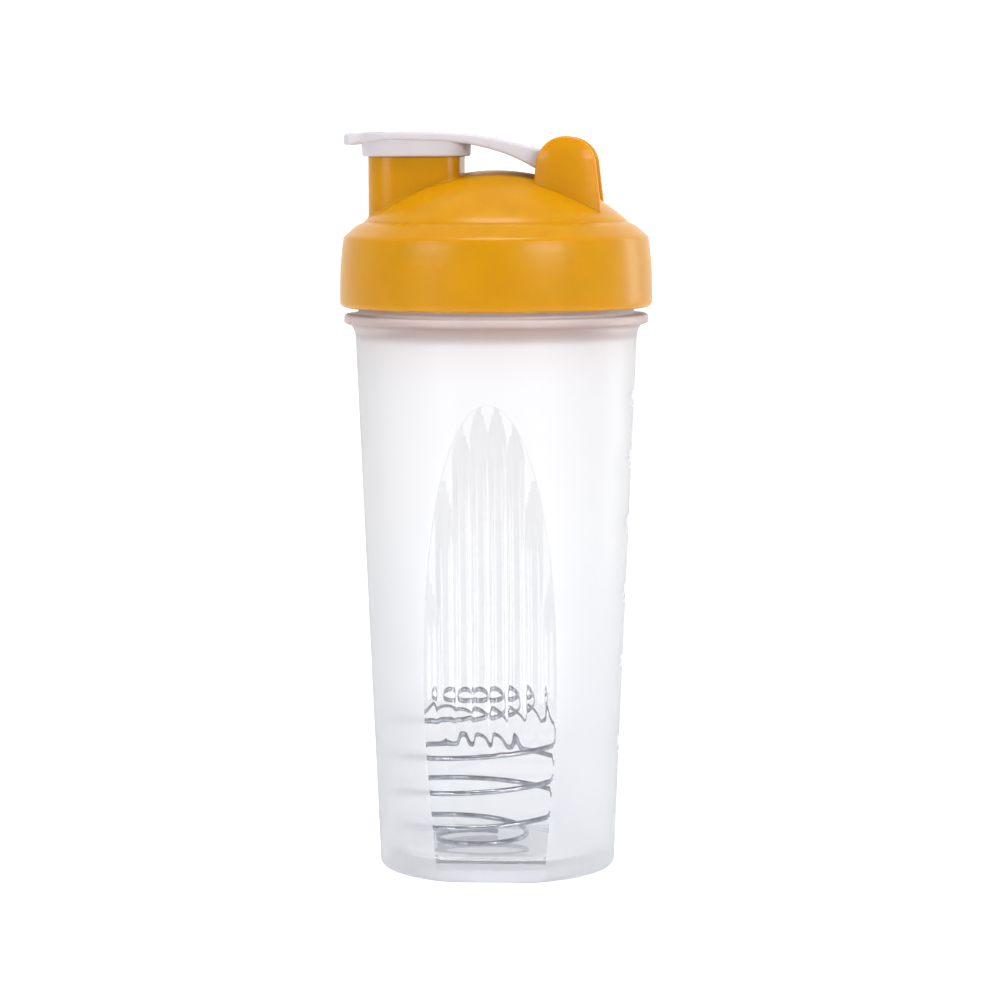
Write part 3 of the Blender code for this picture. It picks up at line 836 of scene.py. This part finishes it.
def ear_outline(inset):
    return [
        (EAR_LEFT_FOOT_X + inset, EAR_FOOT_Z),
        (EAR_RIGHT_FOOT_X - inset, EAR_FOOT_Z),
        *arc((PIVOT_X, EAR_ARC_Z), EAR_TOP_RADIUS - inset, 4, 176, 48),
    ]


def ear(side):
    """A hinge ear: flat inside, and softly pillowed outside within a small rim rounding."""
    inner = KNUCKLE_HALF_WIDTH + EAR_GAP
    outer = inner + EAR_THICKNESS - EAR_RIM_DROP
    sections = [(inner, EDGE_BREAK), (inner + EDGE_BREAK / 3, EDGE_BREAK / 3), (inner + EDGE_BREAK, 0.0)]
    for turn in (0, 25, 50, 75):
        drop = EAR_RIM_ROUNDING * (1 - math.sin(math.radians(turn)))
        sections.append((outer - drop, EAR_RIM_ROUNDING * (1 - math.cos(math.radians(turn)))))
    sections += [(outer + bulge, inset) for inset, bulge in EAR_PILLOW]
    rings = [[(x, side * y, z) for x, z in ear_outline(inset)] for y, inset in sections]
    return loft("ear", rings)


def hinge_pin(name, radius, half_length, y, sides=40, rounding=0.0):
    """A round solid on the hinge axis, with its ends bevelled by the rounding."""
    shapes = [(-half_length, radius), (half_length, radius)]
    if rounding:
        shapes = [(-half_length, radius - rounding), (-half_length + rounding, radius),
                  (half_length - rounding, radius), (half_length, radius - rounding)]
    angles = [2 * math.pi * i / sides for i in range(sides)]
    rings = []
    for along, reach in shapes:
        rings.append([(PIVOT_X + reach * math.cos(angle), y + along, PIVOT_Z + reach * math.sin(angle))
                      for angle in angles])
    return loft(name, rings)


def lid_thread():
    """The rib inside the skirt, half a lead below the neck's thread, sunk into the wall at both ends."""
    first, last = LID_THREAD_TURNS
    steps = 72
    path = []
    for i in range(steps + 1):
        turn = first + (last - first) * i / steps
        fade = min(1, min(turn - first, last - turn) / THREAD_FADE)
        reach = LID_THREAD_RADIUS + LID_THREAD_TUBE * (1 - fade)
        angle = 2 * math.pi * turn
        height = THREAD_BASE - THREAD_LEAD / 2 + THREAD_LEAD * turn
        path.append(Vector((reach * math.cos(angle), reach * math.sin(angle), height)))
    return tube("lid_thread", path, LID_THREAD_TUBE, 10)


def make_lid(orange):
    lid = turned("lid_shell", lid_outer_profile(), LID_STEPS)
    combine(lid, spout_wall(), "UNION")
    combine(lid, ear(-1), "UNION")
    combine(lid, ear(1), "UNION")
    combine(lid, turned("lid_cavity", lid_cavity_profile(), LID_STEPS), "DIFFERENCE")
    combine(lid, spout_bore(), "DIFFERENCE")
    for side in (-1, 1):
        middle = side * (KNUCKLE_HALF_WIDTH + SOCKET_DEPTH / 2)
        combine(lid, hinge_pin("socket", SOCKET_RADIUS, SOCKET_DEPTH / 2 + EAR_GAP, middle), "DIFFERENCE")
    shell = gather("lid_shell", [lid, lid_thread()])
    shell.data.materials.clear()
    shell.data.materials.append(orange)
    shade(shell, 38)
    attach(shell, "lid")
    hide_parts("lid")
    return shell


# ---------------------------------------------------------------- flip cap

def cap_tab_half_width(x):
    """Half the thumb tab's width at x, with its tip's corners rounded."""
    into_corner = CAP_TAB_TIP_X + CAP_TAB_CORNER - x
    if into_corner <= 0:
        return CAP_TAB_HALF_WIDTH
    return CAP_TAB_HALF_WIDTH - CAP_TAB_CORNER + math.sqrt(max(0, CAP_TAB_CORNER**2 - into_corner**2))


def cap_half_width(x):
    """Half the cap's width at x: thumb tab, plate over the spout, then the arm to the hinge."""
    half = SPOUT_HALF_WIDTH + CAP_PLATE_OVERHANG
    corner = SPOUT_OUTER_CORNER + CAP_PLATE_OVERHANG
    outer_x = SPOUT_OUTER_X - CAP_PLATE_OVERHANG
    inner_x = SPOUT_INNER_X + CAP_PLATE_OVERHANG
    before, arm_start, bend = CAP_ARM_SHOULDER
    if x > inner_x - arm_start:
        arm_line = ((inner_x - before, half), (inner_x - bend, half), (CAP_ARM_NECK_X, KNUCKLE_HALF_WIDTH),
                    (CAP_ARM_END_X, KNUCKLE_HALF_WIDTH))
        return softened(arm_line, x)
    tab = cap_tab_half_width(x)
    into_corner = outer_x + corner - x
    if into_corner >= corner:
        return min(tab, half)
    plate = half
    if into_corner > 0:
        plate += math.sqrt(max(0, corner**2 - into_corner**2)) - corner
    gap = abs(tab - plate)
    widest = max(tab, plate)
    if gap < CAP_TAB_BLEND:
        widest += (CAP_TAB_BLEND - gap) ** 2 / (4 * CAP_TAB_BLEND)
    return min(widest, half)


def cap_section(x, squeeze=0.0):
    """The rounded-box section of the cap's plate and arm at x, from the underside's -Y corner round."""
    half = cap_half_width(x) - squeeze
    top = softened(CAP_TOP_LINE, x) - squeeze
    under = softened(CAP_UNDER_LINE, x) + squeeze
    rounding = min(CAP_EDGE_ROUNDING, (top - under) * 0.42)
    corners = ((-half + rounding, under + rounding, 270, 180), (-half + rounding, top - rounding, 180, 90),
               (half - rounding, top - rounding, 90, 0), (half - rounding, under + rounding, 0, -90))
    ring = []
    for y, z, start, end in corners:
        ring += [(x, u, v) for u, v in arc((y, z), rounding, start, end, 6)]
    return ring


def cap_plate():
    """The tab, plate and arm, with more sections where the width changes fast."""
    fine, coarse = CAP_STATION_STEPS
    stations = []
    x = CAP_TAB_TIP_X
    while x < PIVOT_X:
        stations.append(x)
        x += fine if any(low < x < high for low, high in CAP_STEEP_SPANS) else coarse
    stations.append(PIVOT_X)
    tip = CAP_TAB_TIP_SQUEEZE
    return loft("cap_plate", [cap_section(x, tip[i] if i < len(tip) else 0) for i, x in enumerate(stations)])


def cap_skirt():
    """The skirt round the spout, closed at the top inside the plate."""
    outside = -CAP_SKIRT_GAP - CAP_SKIRT_WALL
    rounding = CAP_SKIRT_ROUNDING
    rings = [
        spout_ring(-CAP_SKIRT_GAP, SPOUT_TOP + CAP_SOLID_OVERLAP),
        spout_ring(-CAP_SKIRT_GAP, CAP_SKIRT_BOTTOM + 0.0002),
        spout_ring(-CAP_SKIRT_GAP - 0.0002, CAP_SKIRT_BOTTOM),
    ]
    for turn in (0, 30, 60, 90):
        inset = outside + rounding * (1 - math.sin(math.radians(turn)))
        rings.append(spout_ring(inset, CAP_SKIRT_BOTTOM + rounding * (1 - math.cos(math.radians(turn)))))
    rings.append(spout_ring(outside - 0.0002, CAP_INSIDE_TOP - CAP_INSIDE_DROP))
    return loft("cap_skirt", rings)


def cap_plug():
    """The plug in the spout's mouth, bevelled below, closed at the top inside the plate."""
    inset = SPOUT_WALL + CAP_PLUG_GAP
    inside = inset + CAP_PLUG_WALL
    return loft("cap_plug", [
        spout_ring(inset, CAP_INSIDE_TOP - CAP_INSIDE_DROP),
        spout_ring(inset, CAP_PLUG_BOTTOM + 0.0008),
        spout_ring(inset + EDGE_BREAK, CAP_PLUG_BOTTOM),
        spout_ring(inside - 0.0002, CAP_PLUG_BOTTOM),
        spout_ring(inside, CAP_PLUG_BOTTOM + EDGE_BREAK),
        spout_ring(inside, SPOUT_TOP + CAP_SOLID_OVERLAP),
    ])


def make_flip_cap(white):
    knuckle = hinge_pin("knuckle", KNUCKLE_RADIUS, KNUCKLE_HALF_WIDTH, 0, 56, EDGE_BREAK)
    reach = KNUCKLE_HALF_WIDTH + SOCKET_DEPTH - EAR_GAP
    trunnions = hinge_pin("trunnions", TRUNNION_RADIUS, reach, 0, 32, EDGE_BREAK)
    cap = gather("flip_cap_body", [cap_plate(), cap_skirt(), cap_plug(), knuckle, trunnions])
    cap.data.materials.append(white)
    shade(cap, 40)
    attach(cap, "flip_cap")
    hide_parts("flip_cap")
    return cap


# ---------------------------------------------------------------- materials

def new_material(name):
    material = bpy.data.materials.new(name)
    material.use_nodes = True
    tree = material.node_tree
    return material, tree, tree.nodes["Principled BSDF"]


def noise(tree, scale, detail, stretch):
    """Noise in object coordinates. Returns its value output."""
    coords = tree.nodes.new("ShaderNodeTexCoord")
    mapping = tree.nodes.new("ShaderNodeMapping")
    mapping.inputs["Scale"].default_value = stretch
    field = tree.nodes.new("ShaderNodeTexNoise")
    field.inputs["Scale"].default_value = scale
    field.inputs["Detail"].default_value = detail
    tree.links.new(coords.outputs["Object"], mapping.inputs["Vector"])
    tree.links.new(mapping.outputs["Vector"], field.inputs["Vector"])
    return field.outputs["Fac"]


def grain(tree, scale, detail, strength, distance, stretch=(1, 1, 1), previous=None):
    """A bump from noise, on top of a previous bump if there is one. Returns its normal output."""
    bump = tree.nodes.new("ShaderNodeBump")
    bump.inputs["Strength"].default_value = strength
    bump.inputs["Distance"].default_value = distance
    tree.links.new(noise(tree, scale, detail, stretch), bump.inputs["Height"])
    if previous:
        tree.links.new(previous, bump.inputs["Normal"])
    return bump.outputs["Normal"]


def colour_ramp(tree, stops):
    """A ramp through (position, colour) stops."""
    ramp = tree.nodes.new("ShaderNodeValToRGB")
    elements = ramp.color_ramp.elements
    while len(elements) < len(stops):
        elements.new(1.0)
    for element, (position, colour) in zip(elements, stops):
        element.position = position
        element.color = (*colour, 1)
    return ramp


def split_coords(tree, source="Object"):
    """Texture coordinates of a kind, split into X, Y and Z."""
    coords = tree.nodes.new("ShaderNodeTexCoord")
    split = tree.nodes.new("ShaderNodeSeparateXYZ")
    tree.links.new(coords.outputs[source], split.inputs["Vector"])
    return split.outputs


def mapped(tree, value, ends):
    """A value taken through a straight line between two (input, output) ends, and clamped to it."""
    line = tree.nodes.new("ShaderNodeMapRange")
    line.inputs["From Min"].default_value, line.inputs["To Min"].default_value = ends[0]
    line.inputs["From Max"].default_value, line.inputs["To Max"].default_value = ends[1]
    tree.links.new(value, line.inputs["Value"])
    return line.outputs["Result"]


def mottle(tree, shader, low, high, scale):
    """Base colour that drifts softly between two tones over the surface."""
    ramp = colour_ramp(tree, ((0.35, low), (0.65, high)))
    tree.links.new(noise(tree, scale, 3, (1, 1, 1)), ramp.inputs["Fac"])
    tree.links.new(ramp.outputs["Color"], shader.inputs["Base Color"])


def tint_with_painted_glow(tree, shader, stops):
    """Multiplies the base colour by a ramp from the cup's foot to its rim; near the rim it paints the lid's
    warm bounce light.
    """
    base = shader.inputs["Base Color"].links[0].from_socket
    level = mapped(tree, split_coords(tree)["Z"], ((0.0, 0.0), (NECK_TOP, 1.0)))
    ramp = colour_ramp(tree, [(height / NECK_TOP, colour) for height, colour in stops])
    blend = tree.nodes.new("ShaderNodeMix")
    blend.data_type = "RGBA"
    blend.blend_type = "MULTIPLY"
    blend.inputs["Factor"].default_value = 1.0
    tree.links.new(level, ramp.inputs["Fac"])
    a_colour, b_colour = blend.inputs[6:8]
    mixed = blend.outputs[2]
    tree.links.new(base, a_colour)
    tree.links.new(ramp.outputs["Color"], b_colour)
    tree.links.new(mixed, shader.inputs["Base Color"])


def frosted_plastic():
    material, tree, shader = new_material("frosted_plastic")
    shader.inputs["Roughness"].default_value = 0.45
    shader.inputs["IOR"].default_value = 1.49
    shader.inputs["Transmission Weight"].default_value = 0.68
    mottle(tree, shader, (0.935, 0.935, 0.95), (0.95, 0.95, 0.963), 60)
    # Painted warm bounce light from the lid near the rim, by height
    tint_with_painted_glow(tree, shader, CUP_TINTS_WITH_PAINTED_GLOW)
    tree.links.new(grain(tree, 2600, 2, 0.25, 0.00004), shader.inputs["Normal"])
    return material


def moulded_marks():
    material, tree, shader = new_material("moulded_marks")
    shader.inputs["Roughness"].default_value = 0.3
    shader.inputs["IOR"].default_value = 1.49
    mottle(tree, shader, (0.80, 0.81, 0.86), (0.84, 0.85, 0.89), 300)
    tree.links.new(grain(tree, 2600, 2, 0.2, 0.00003), shader.inputs["Normal"])
    return material


def clear_plastic():
    material, tree, shader = new_material("clear_plastic")
    shader.inputs["Roughness"].default_value = 0.03
    shader.inputs["IOR"].default_value = 1.49
    shader.inputs["Transmission Weight"].default_value = 1.0
    mottle(tree, shader, (0.975, 0.978, 0.985), (0.985, 0.987, 0.99), 30)
    # Painted warm bounce light from the lid near the rim, by height
    tint_with_painted_glow(tree, shader, CLEAR_TINTS_WITH_PAINTED_GLOW)
    tree.links.new(grain(tree, 90, 1, 0.05, 0.0001), shader.inputs["Normal"])
    return material


def orange_plastic():
    material, tree, shader = new_material("orange_plastic")
    shader.inputs["Roughness"].default_value = 0.3
    shader.inputs["IOR"].default_value = 1.49
    shader.inputs["Specular IOR Level"].default_value = 0.22
    shader.inputs["Subsurface Weight"].default_value = 0.5
    shader.inputs["Subsurface Radius"].default_value = (1.0, 0.4, 0.05)
    shader.inputs["Subsurface Scale"].default_value = 0.008
    mottle(tree, shader, (0.51, 0.23, 0.0006), (0.54, 0.246, 0.0008), 90)
    fine = grain(tree, 1700, 2, 0.5, 0.00003)
    bands = grain(tree, 6, 2, 0.3, 0.0003, (1, 1, 60), fine)
    tree.links.new(bands, shader.inputs["Normal"])
    return material


def white_plastic():
    material, tree, shader = new_material("white_plastic")
    shader.inputs["Roughness"].default_value = 0.42
    shader.inputs["Specular IOR Level"].default_value = 0.25
    shader.inputs["IOR"].default_value = 1.49
    shader.inputs["Subsurface Weight"].default_value = 0.1
    shader.inputs["Subsurface Radius"].default_value = (1.0, 0.8, 0.7)
    shader.inputs["Subsurface Scale"].default_value = 0.0015
    mottle(tree, shader, (0.53, 0.5, 0.53), (0.56, 0.53, 0.56), 80)
    tree.links.new(grain(tree, 1800, 2, 0.2, 0.00004), shader.inputs["Normal"])
    return material


def steel_wire():
    material, tree, shader = new_material("steel_wire")
    shader.inputs["Metallic"].default_value = 1.0
    shader.inputs["Roughness"].default_value = 0.2
    mottle(tree, shader, (0.34, 0.36, 0.4), (0.56, 0.58, 0.62), 500)
    tree.links.new(grain(tree, 2500, 2, 0.2, 0.00003), shader.inputs["Normal"])
    return material


def silicone():
    material, tree, shader = new_material("silicone_soft")
    shader.inputs["Roughness"].default_value = 0.6
    mottle(tree, shader, (0.66, 0.66, 0.65), (0.72, 0.72, 0.71), 200)
    tree.links.new(grain(tree, 1500, 2, 0.2, 0.00004), shader.inputs["Normal"])
    return material


# ---------------------------------------------------------------- stage

def floor_paint():
    """Pale paint with a glow of its own that fades towards the near side."""
    material, tree, shader = new_material("floor_paint")
    shader.inputs["Roughness"].default_value = 0.8
    shader.inputs["Specular IOR Level"].default_value = 0.2
    shader.inputs["Emission Strength"].default_value = FLOOR_GLOW
    mottle(tree, shader, (0.24, 0.24, 0.24), (0.26, 0.26, 0.26), 3)
    fade = mapped(tree, split_coords(tree)["Y"], FLOOR_FADE)
    glow = tree.nodes.new("ShaderNodeCombineColor")
    for channel in ("Red", "Green", "Blue"):
        tree.links.new(fade, glow.inputs[channel])
    tree.links.new(glow.outputs["Color"], shader.inputs["Emission Color"])
    return material


def make_floor():
    mesh = bpy.data.meshes.new("floor")
    corners = [(x * FLOOR_REACH, y * FLOOR_REACH, 0) for x, y in ((-1, -1), (1, -1), (1, 1), (-1, 1))]
    mesh.from_pydata(corners, [], [(0, 1, 2, 3)])
    mesh.materials.append(floor_paint())
    floor = bpy.data.objects.new("floor", mesh)
    floor.location.z = -FLOOR_DROP
    bpy.context.scene.collection.objects.link(floor)


def soft_box(name, place, aim, width, height, power):
    light = bpy.data.lights.new(name, "AREA")
    light.shape = "RECTANGLE"
    light.size = width
    light.size_y = height
    light.energy = power
    lamp = bpy.data.objects.new(name, light)
    lamp.location = place
    direction = Vector(aim) - Vector(place)
    lamp.rotation_mode = "QUATERNION"
    lamp.rotation_quaternion = direction.to_track_quat("-Z", "Y")
    bpy.context.scene.collection.objects.link(lamp)


def make_world():
    """A pale studio: brightest behind the object, darker on the near side and straight above."""
    world = bpy.data.worlds.new("studio")
    bpy.context.scene.world = world
    world.use_nodes = True
    tree = world.node_tree
    background = tree.nodes["Background"]
    direction = split_coords(tree, "Generated")
    behind = mapped(tree, direction["Y"], SKY_FRONT_TO_BACK)
    sideways = tree.nodes.new("ShaderNodeMath")
    sideways.operation = "MULTIPLY_ADD"
    sideways.inputs[1].default_value = SKY_SIDE_SLOPE
    strength = tree.nodes.new("ShaderNodeMath")
    strength.operation = "MULTIPLY"
    tint = colour_ramp(tree, SKY_TINTS)
    tree.links.new(direction["X"], sideways.inputs[0])
    tree.links.new(behind, sideways.inputs[2])
    tree.links.new(sideways.outputs["Value"], strength.inputs[0])
    tree.links.new(mapped(tree, direction["Z"], SKY_UPWARDS), strength.inputs[1])
    tree.links.new(strength.outputs["Value"], background.inputs["Strength"])
    tree.links.new(behind, tint.inputs["Fac"])
    tree.links.new(tint.outputs["Color"], background.inputs["Color"])


def make_camera():
    data = bpy.data.cameras.new("camera")
    data.lens = CAMERA_LENS
    data.sensor_width = 36
    data.clip_start = 0.05
    data.clip_end = 50
    camera = bpy.data.objects.new("camera", data)
    angle = math.radians(CAMERA_AZIMUTH)
    camera.location = (CAMERA_DISTANCE * math.sin(angle), -CAMERA_DISTANCE * math.cos(angle), CAMERA_HEIGHT)
    direction = Vector(CAMERA_AIM) - camera.location
    facing = direction.to_track_quat("-Z", "Y").to_matrix()
    roll = Matrix.Rotation(math.radians(CAMERA_ROLL), 3, "Z")
    camera.rotation_mode = "QUATERNION"
    camera.rotation_quaternion = (facing @ roll).to_quaternion()
    bpy.context.scene.collection.objects.link(camera)
    bpy.context.scene.camera = camera


def main():
    make_cup(frosted_plastic(), clear_plastic())
    make_marks(moulded_marks())
    make_whisk(steel_wire())
    make_lid(orange_plastic())
    make_flip_cap(white_plastic())
    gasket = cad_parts["lid_gasket"]
    gasket.data.materials.clear()
    gasket.data.materials.append(silicone())
    make_floor()
    make_world()
    for light in LIGHTS:
        soft_box(*light)
    make_camera()
    bpy.context.scene.view_settings.view_transform = "Standard"


main()
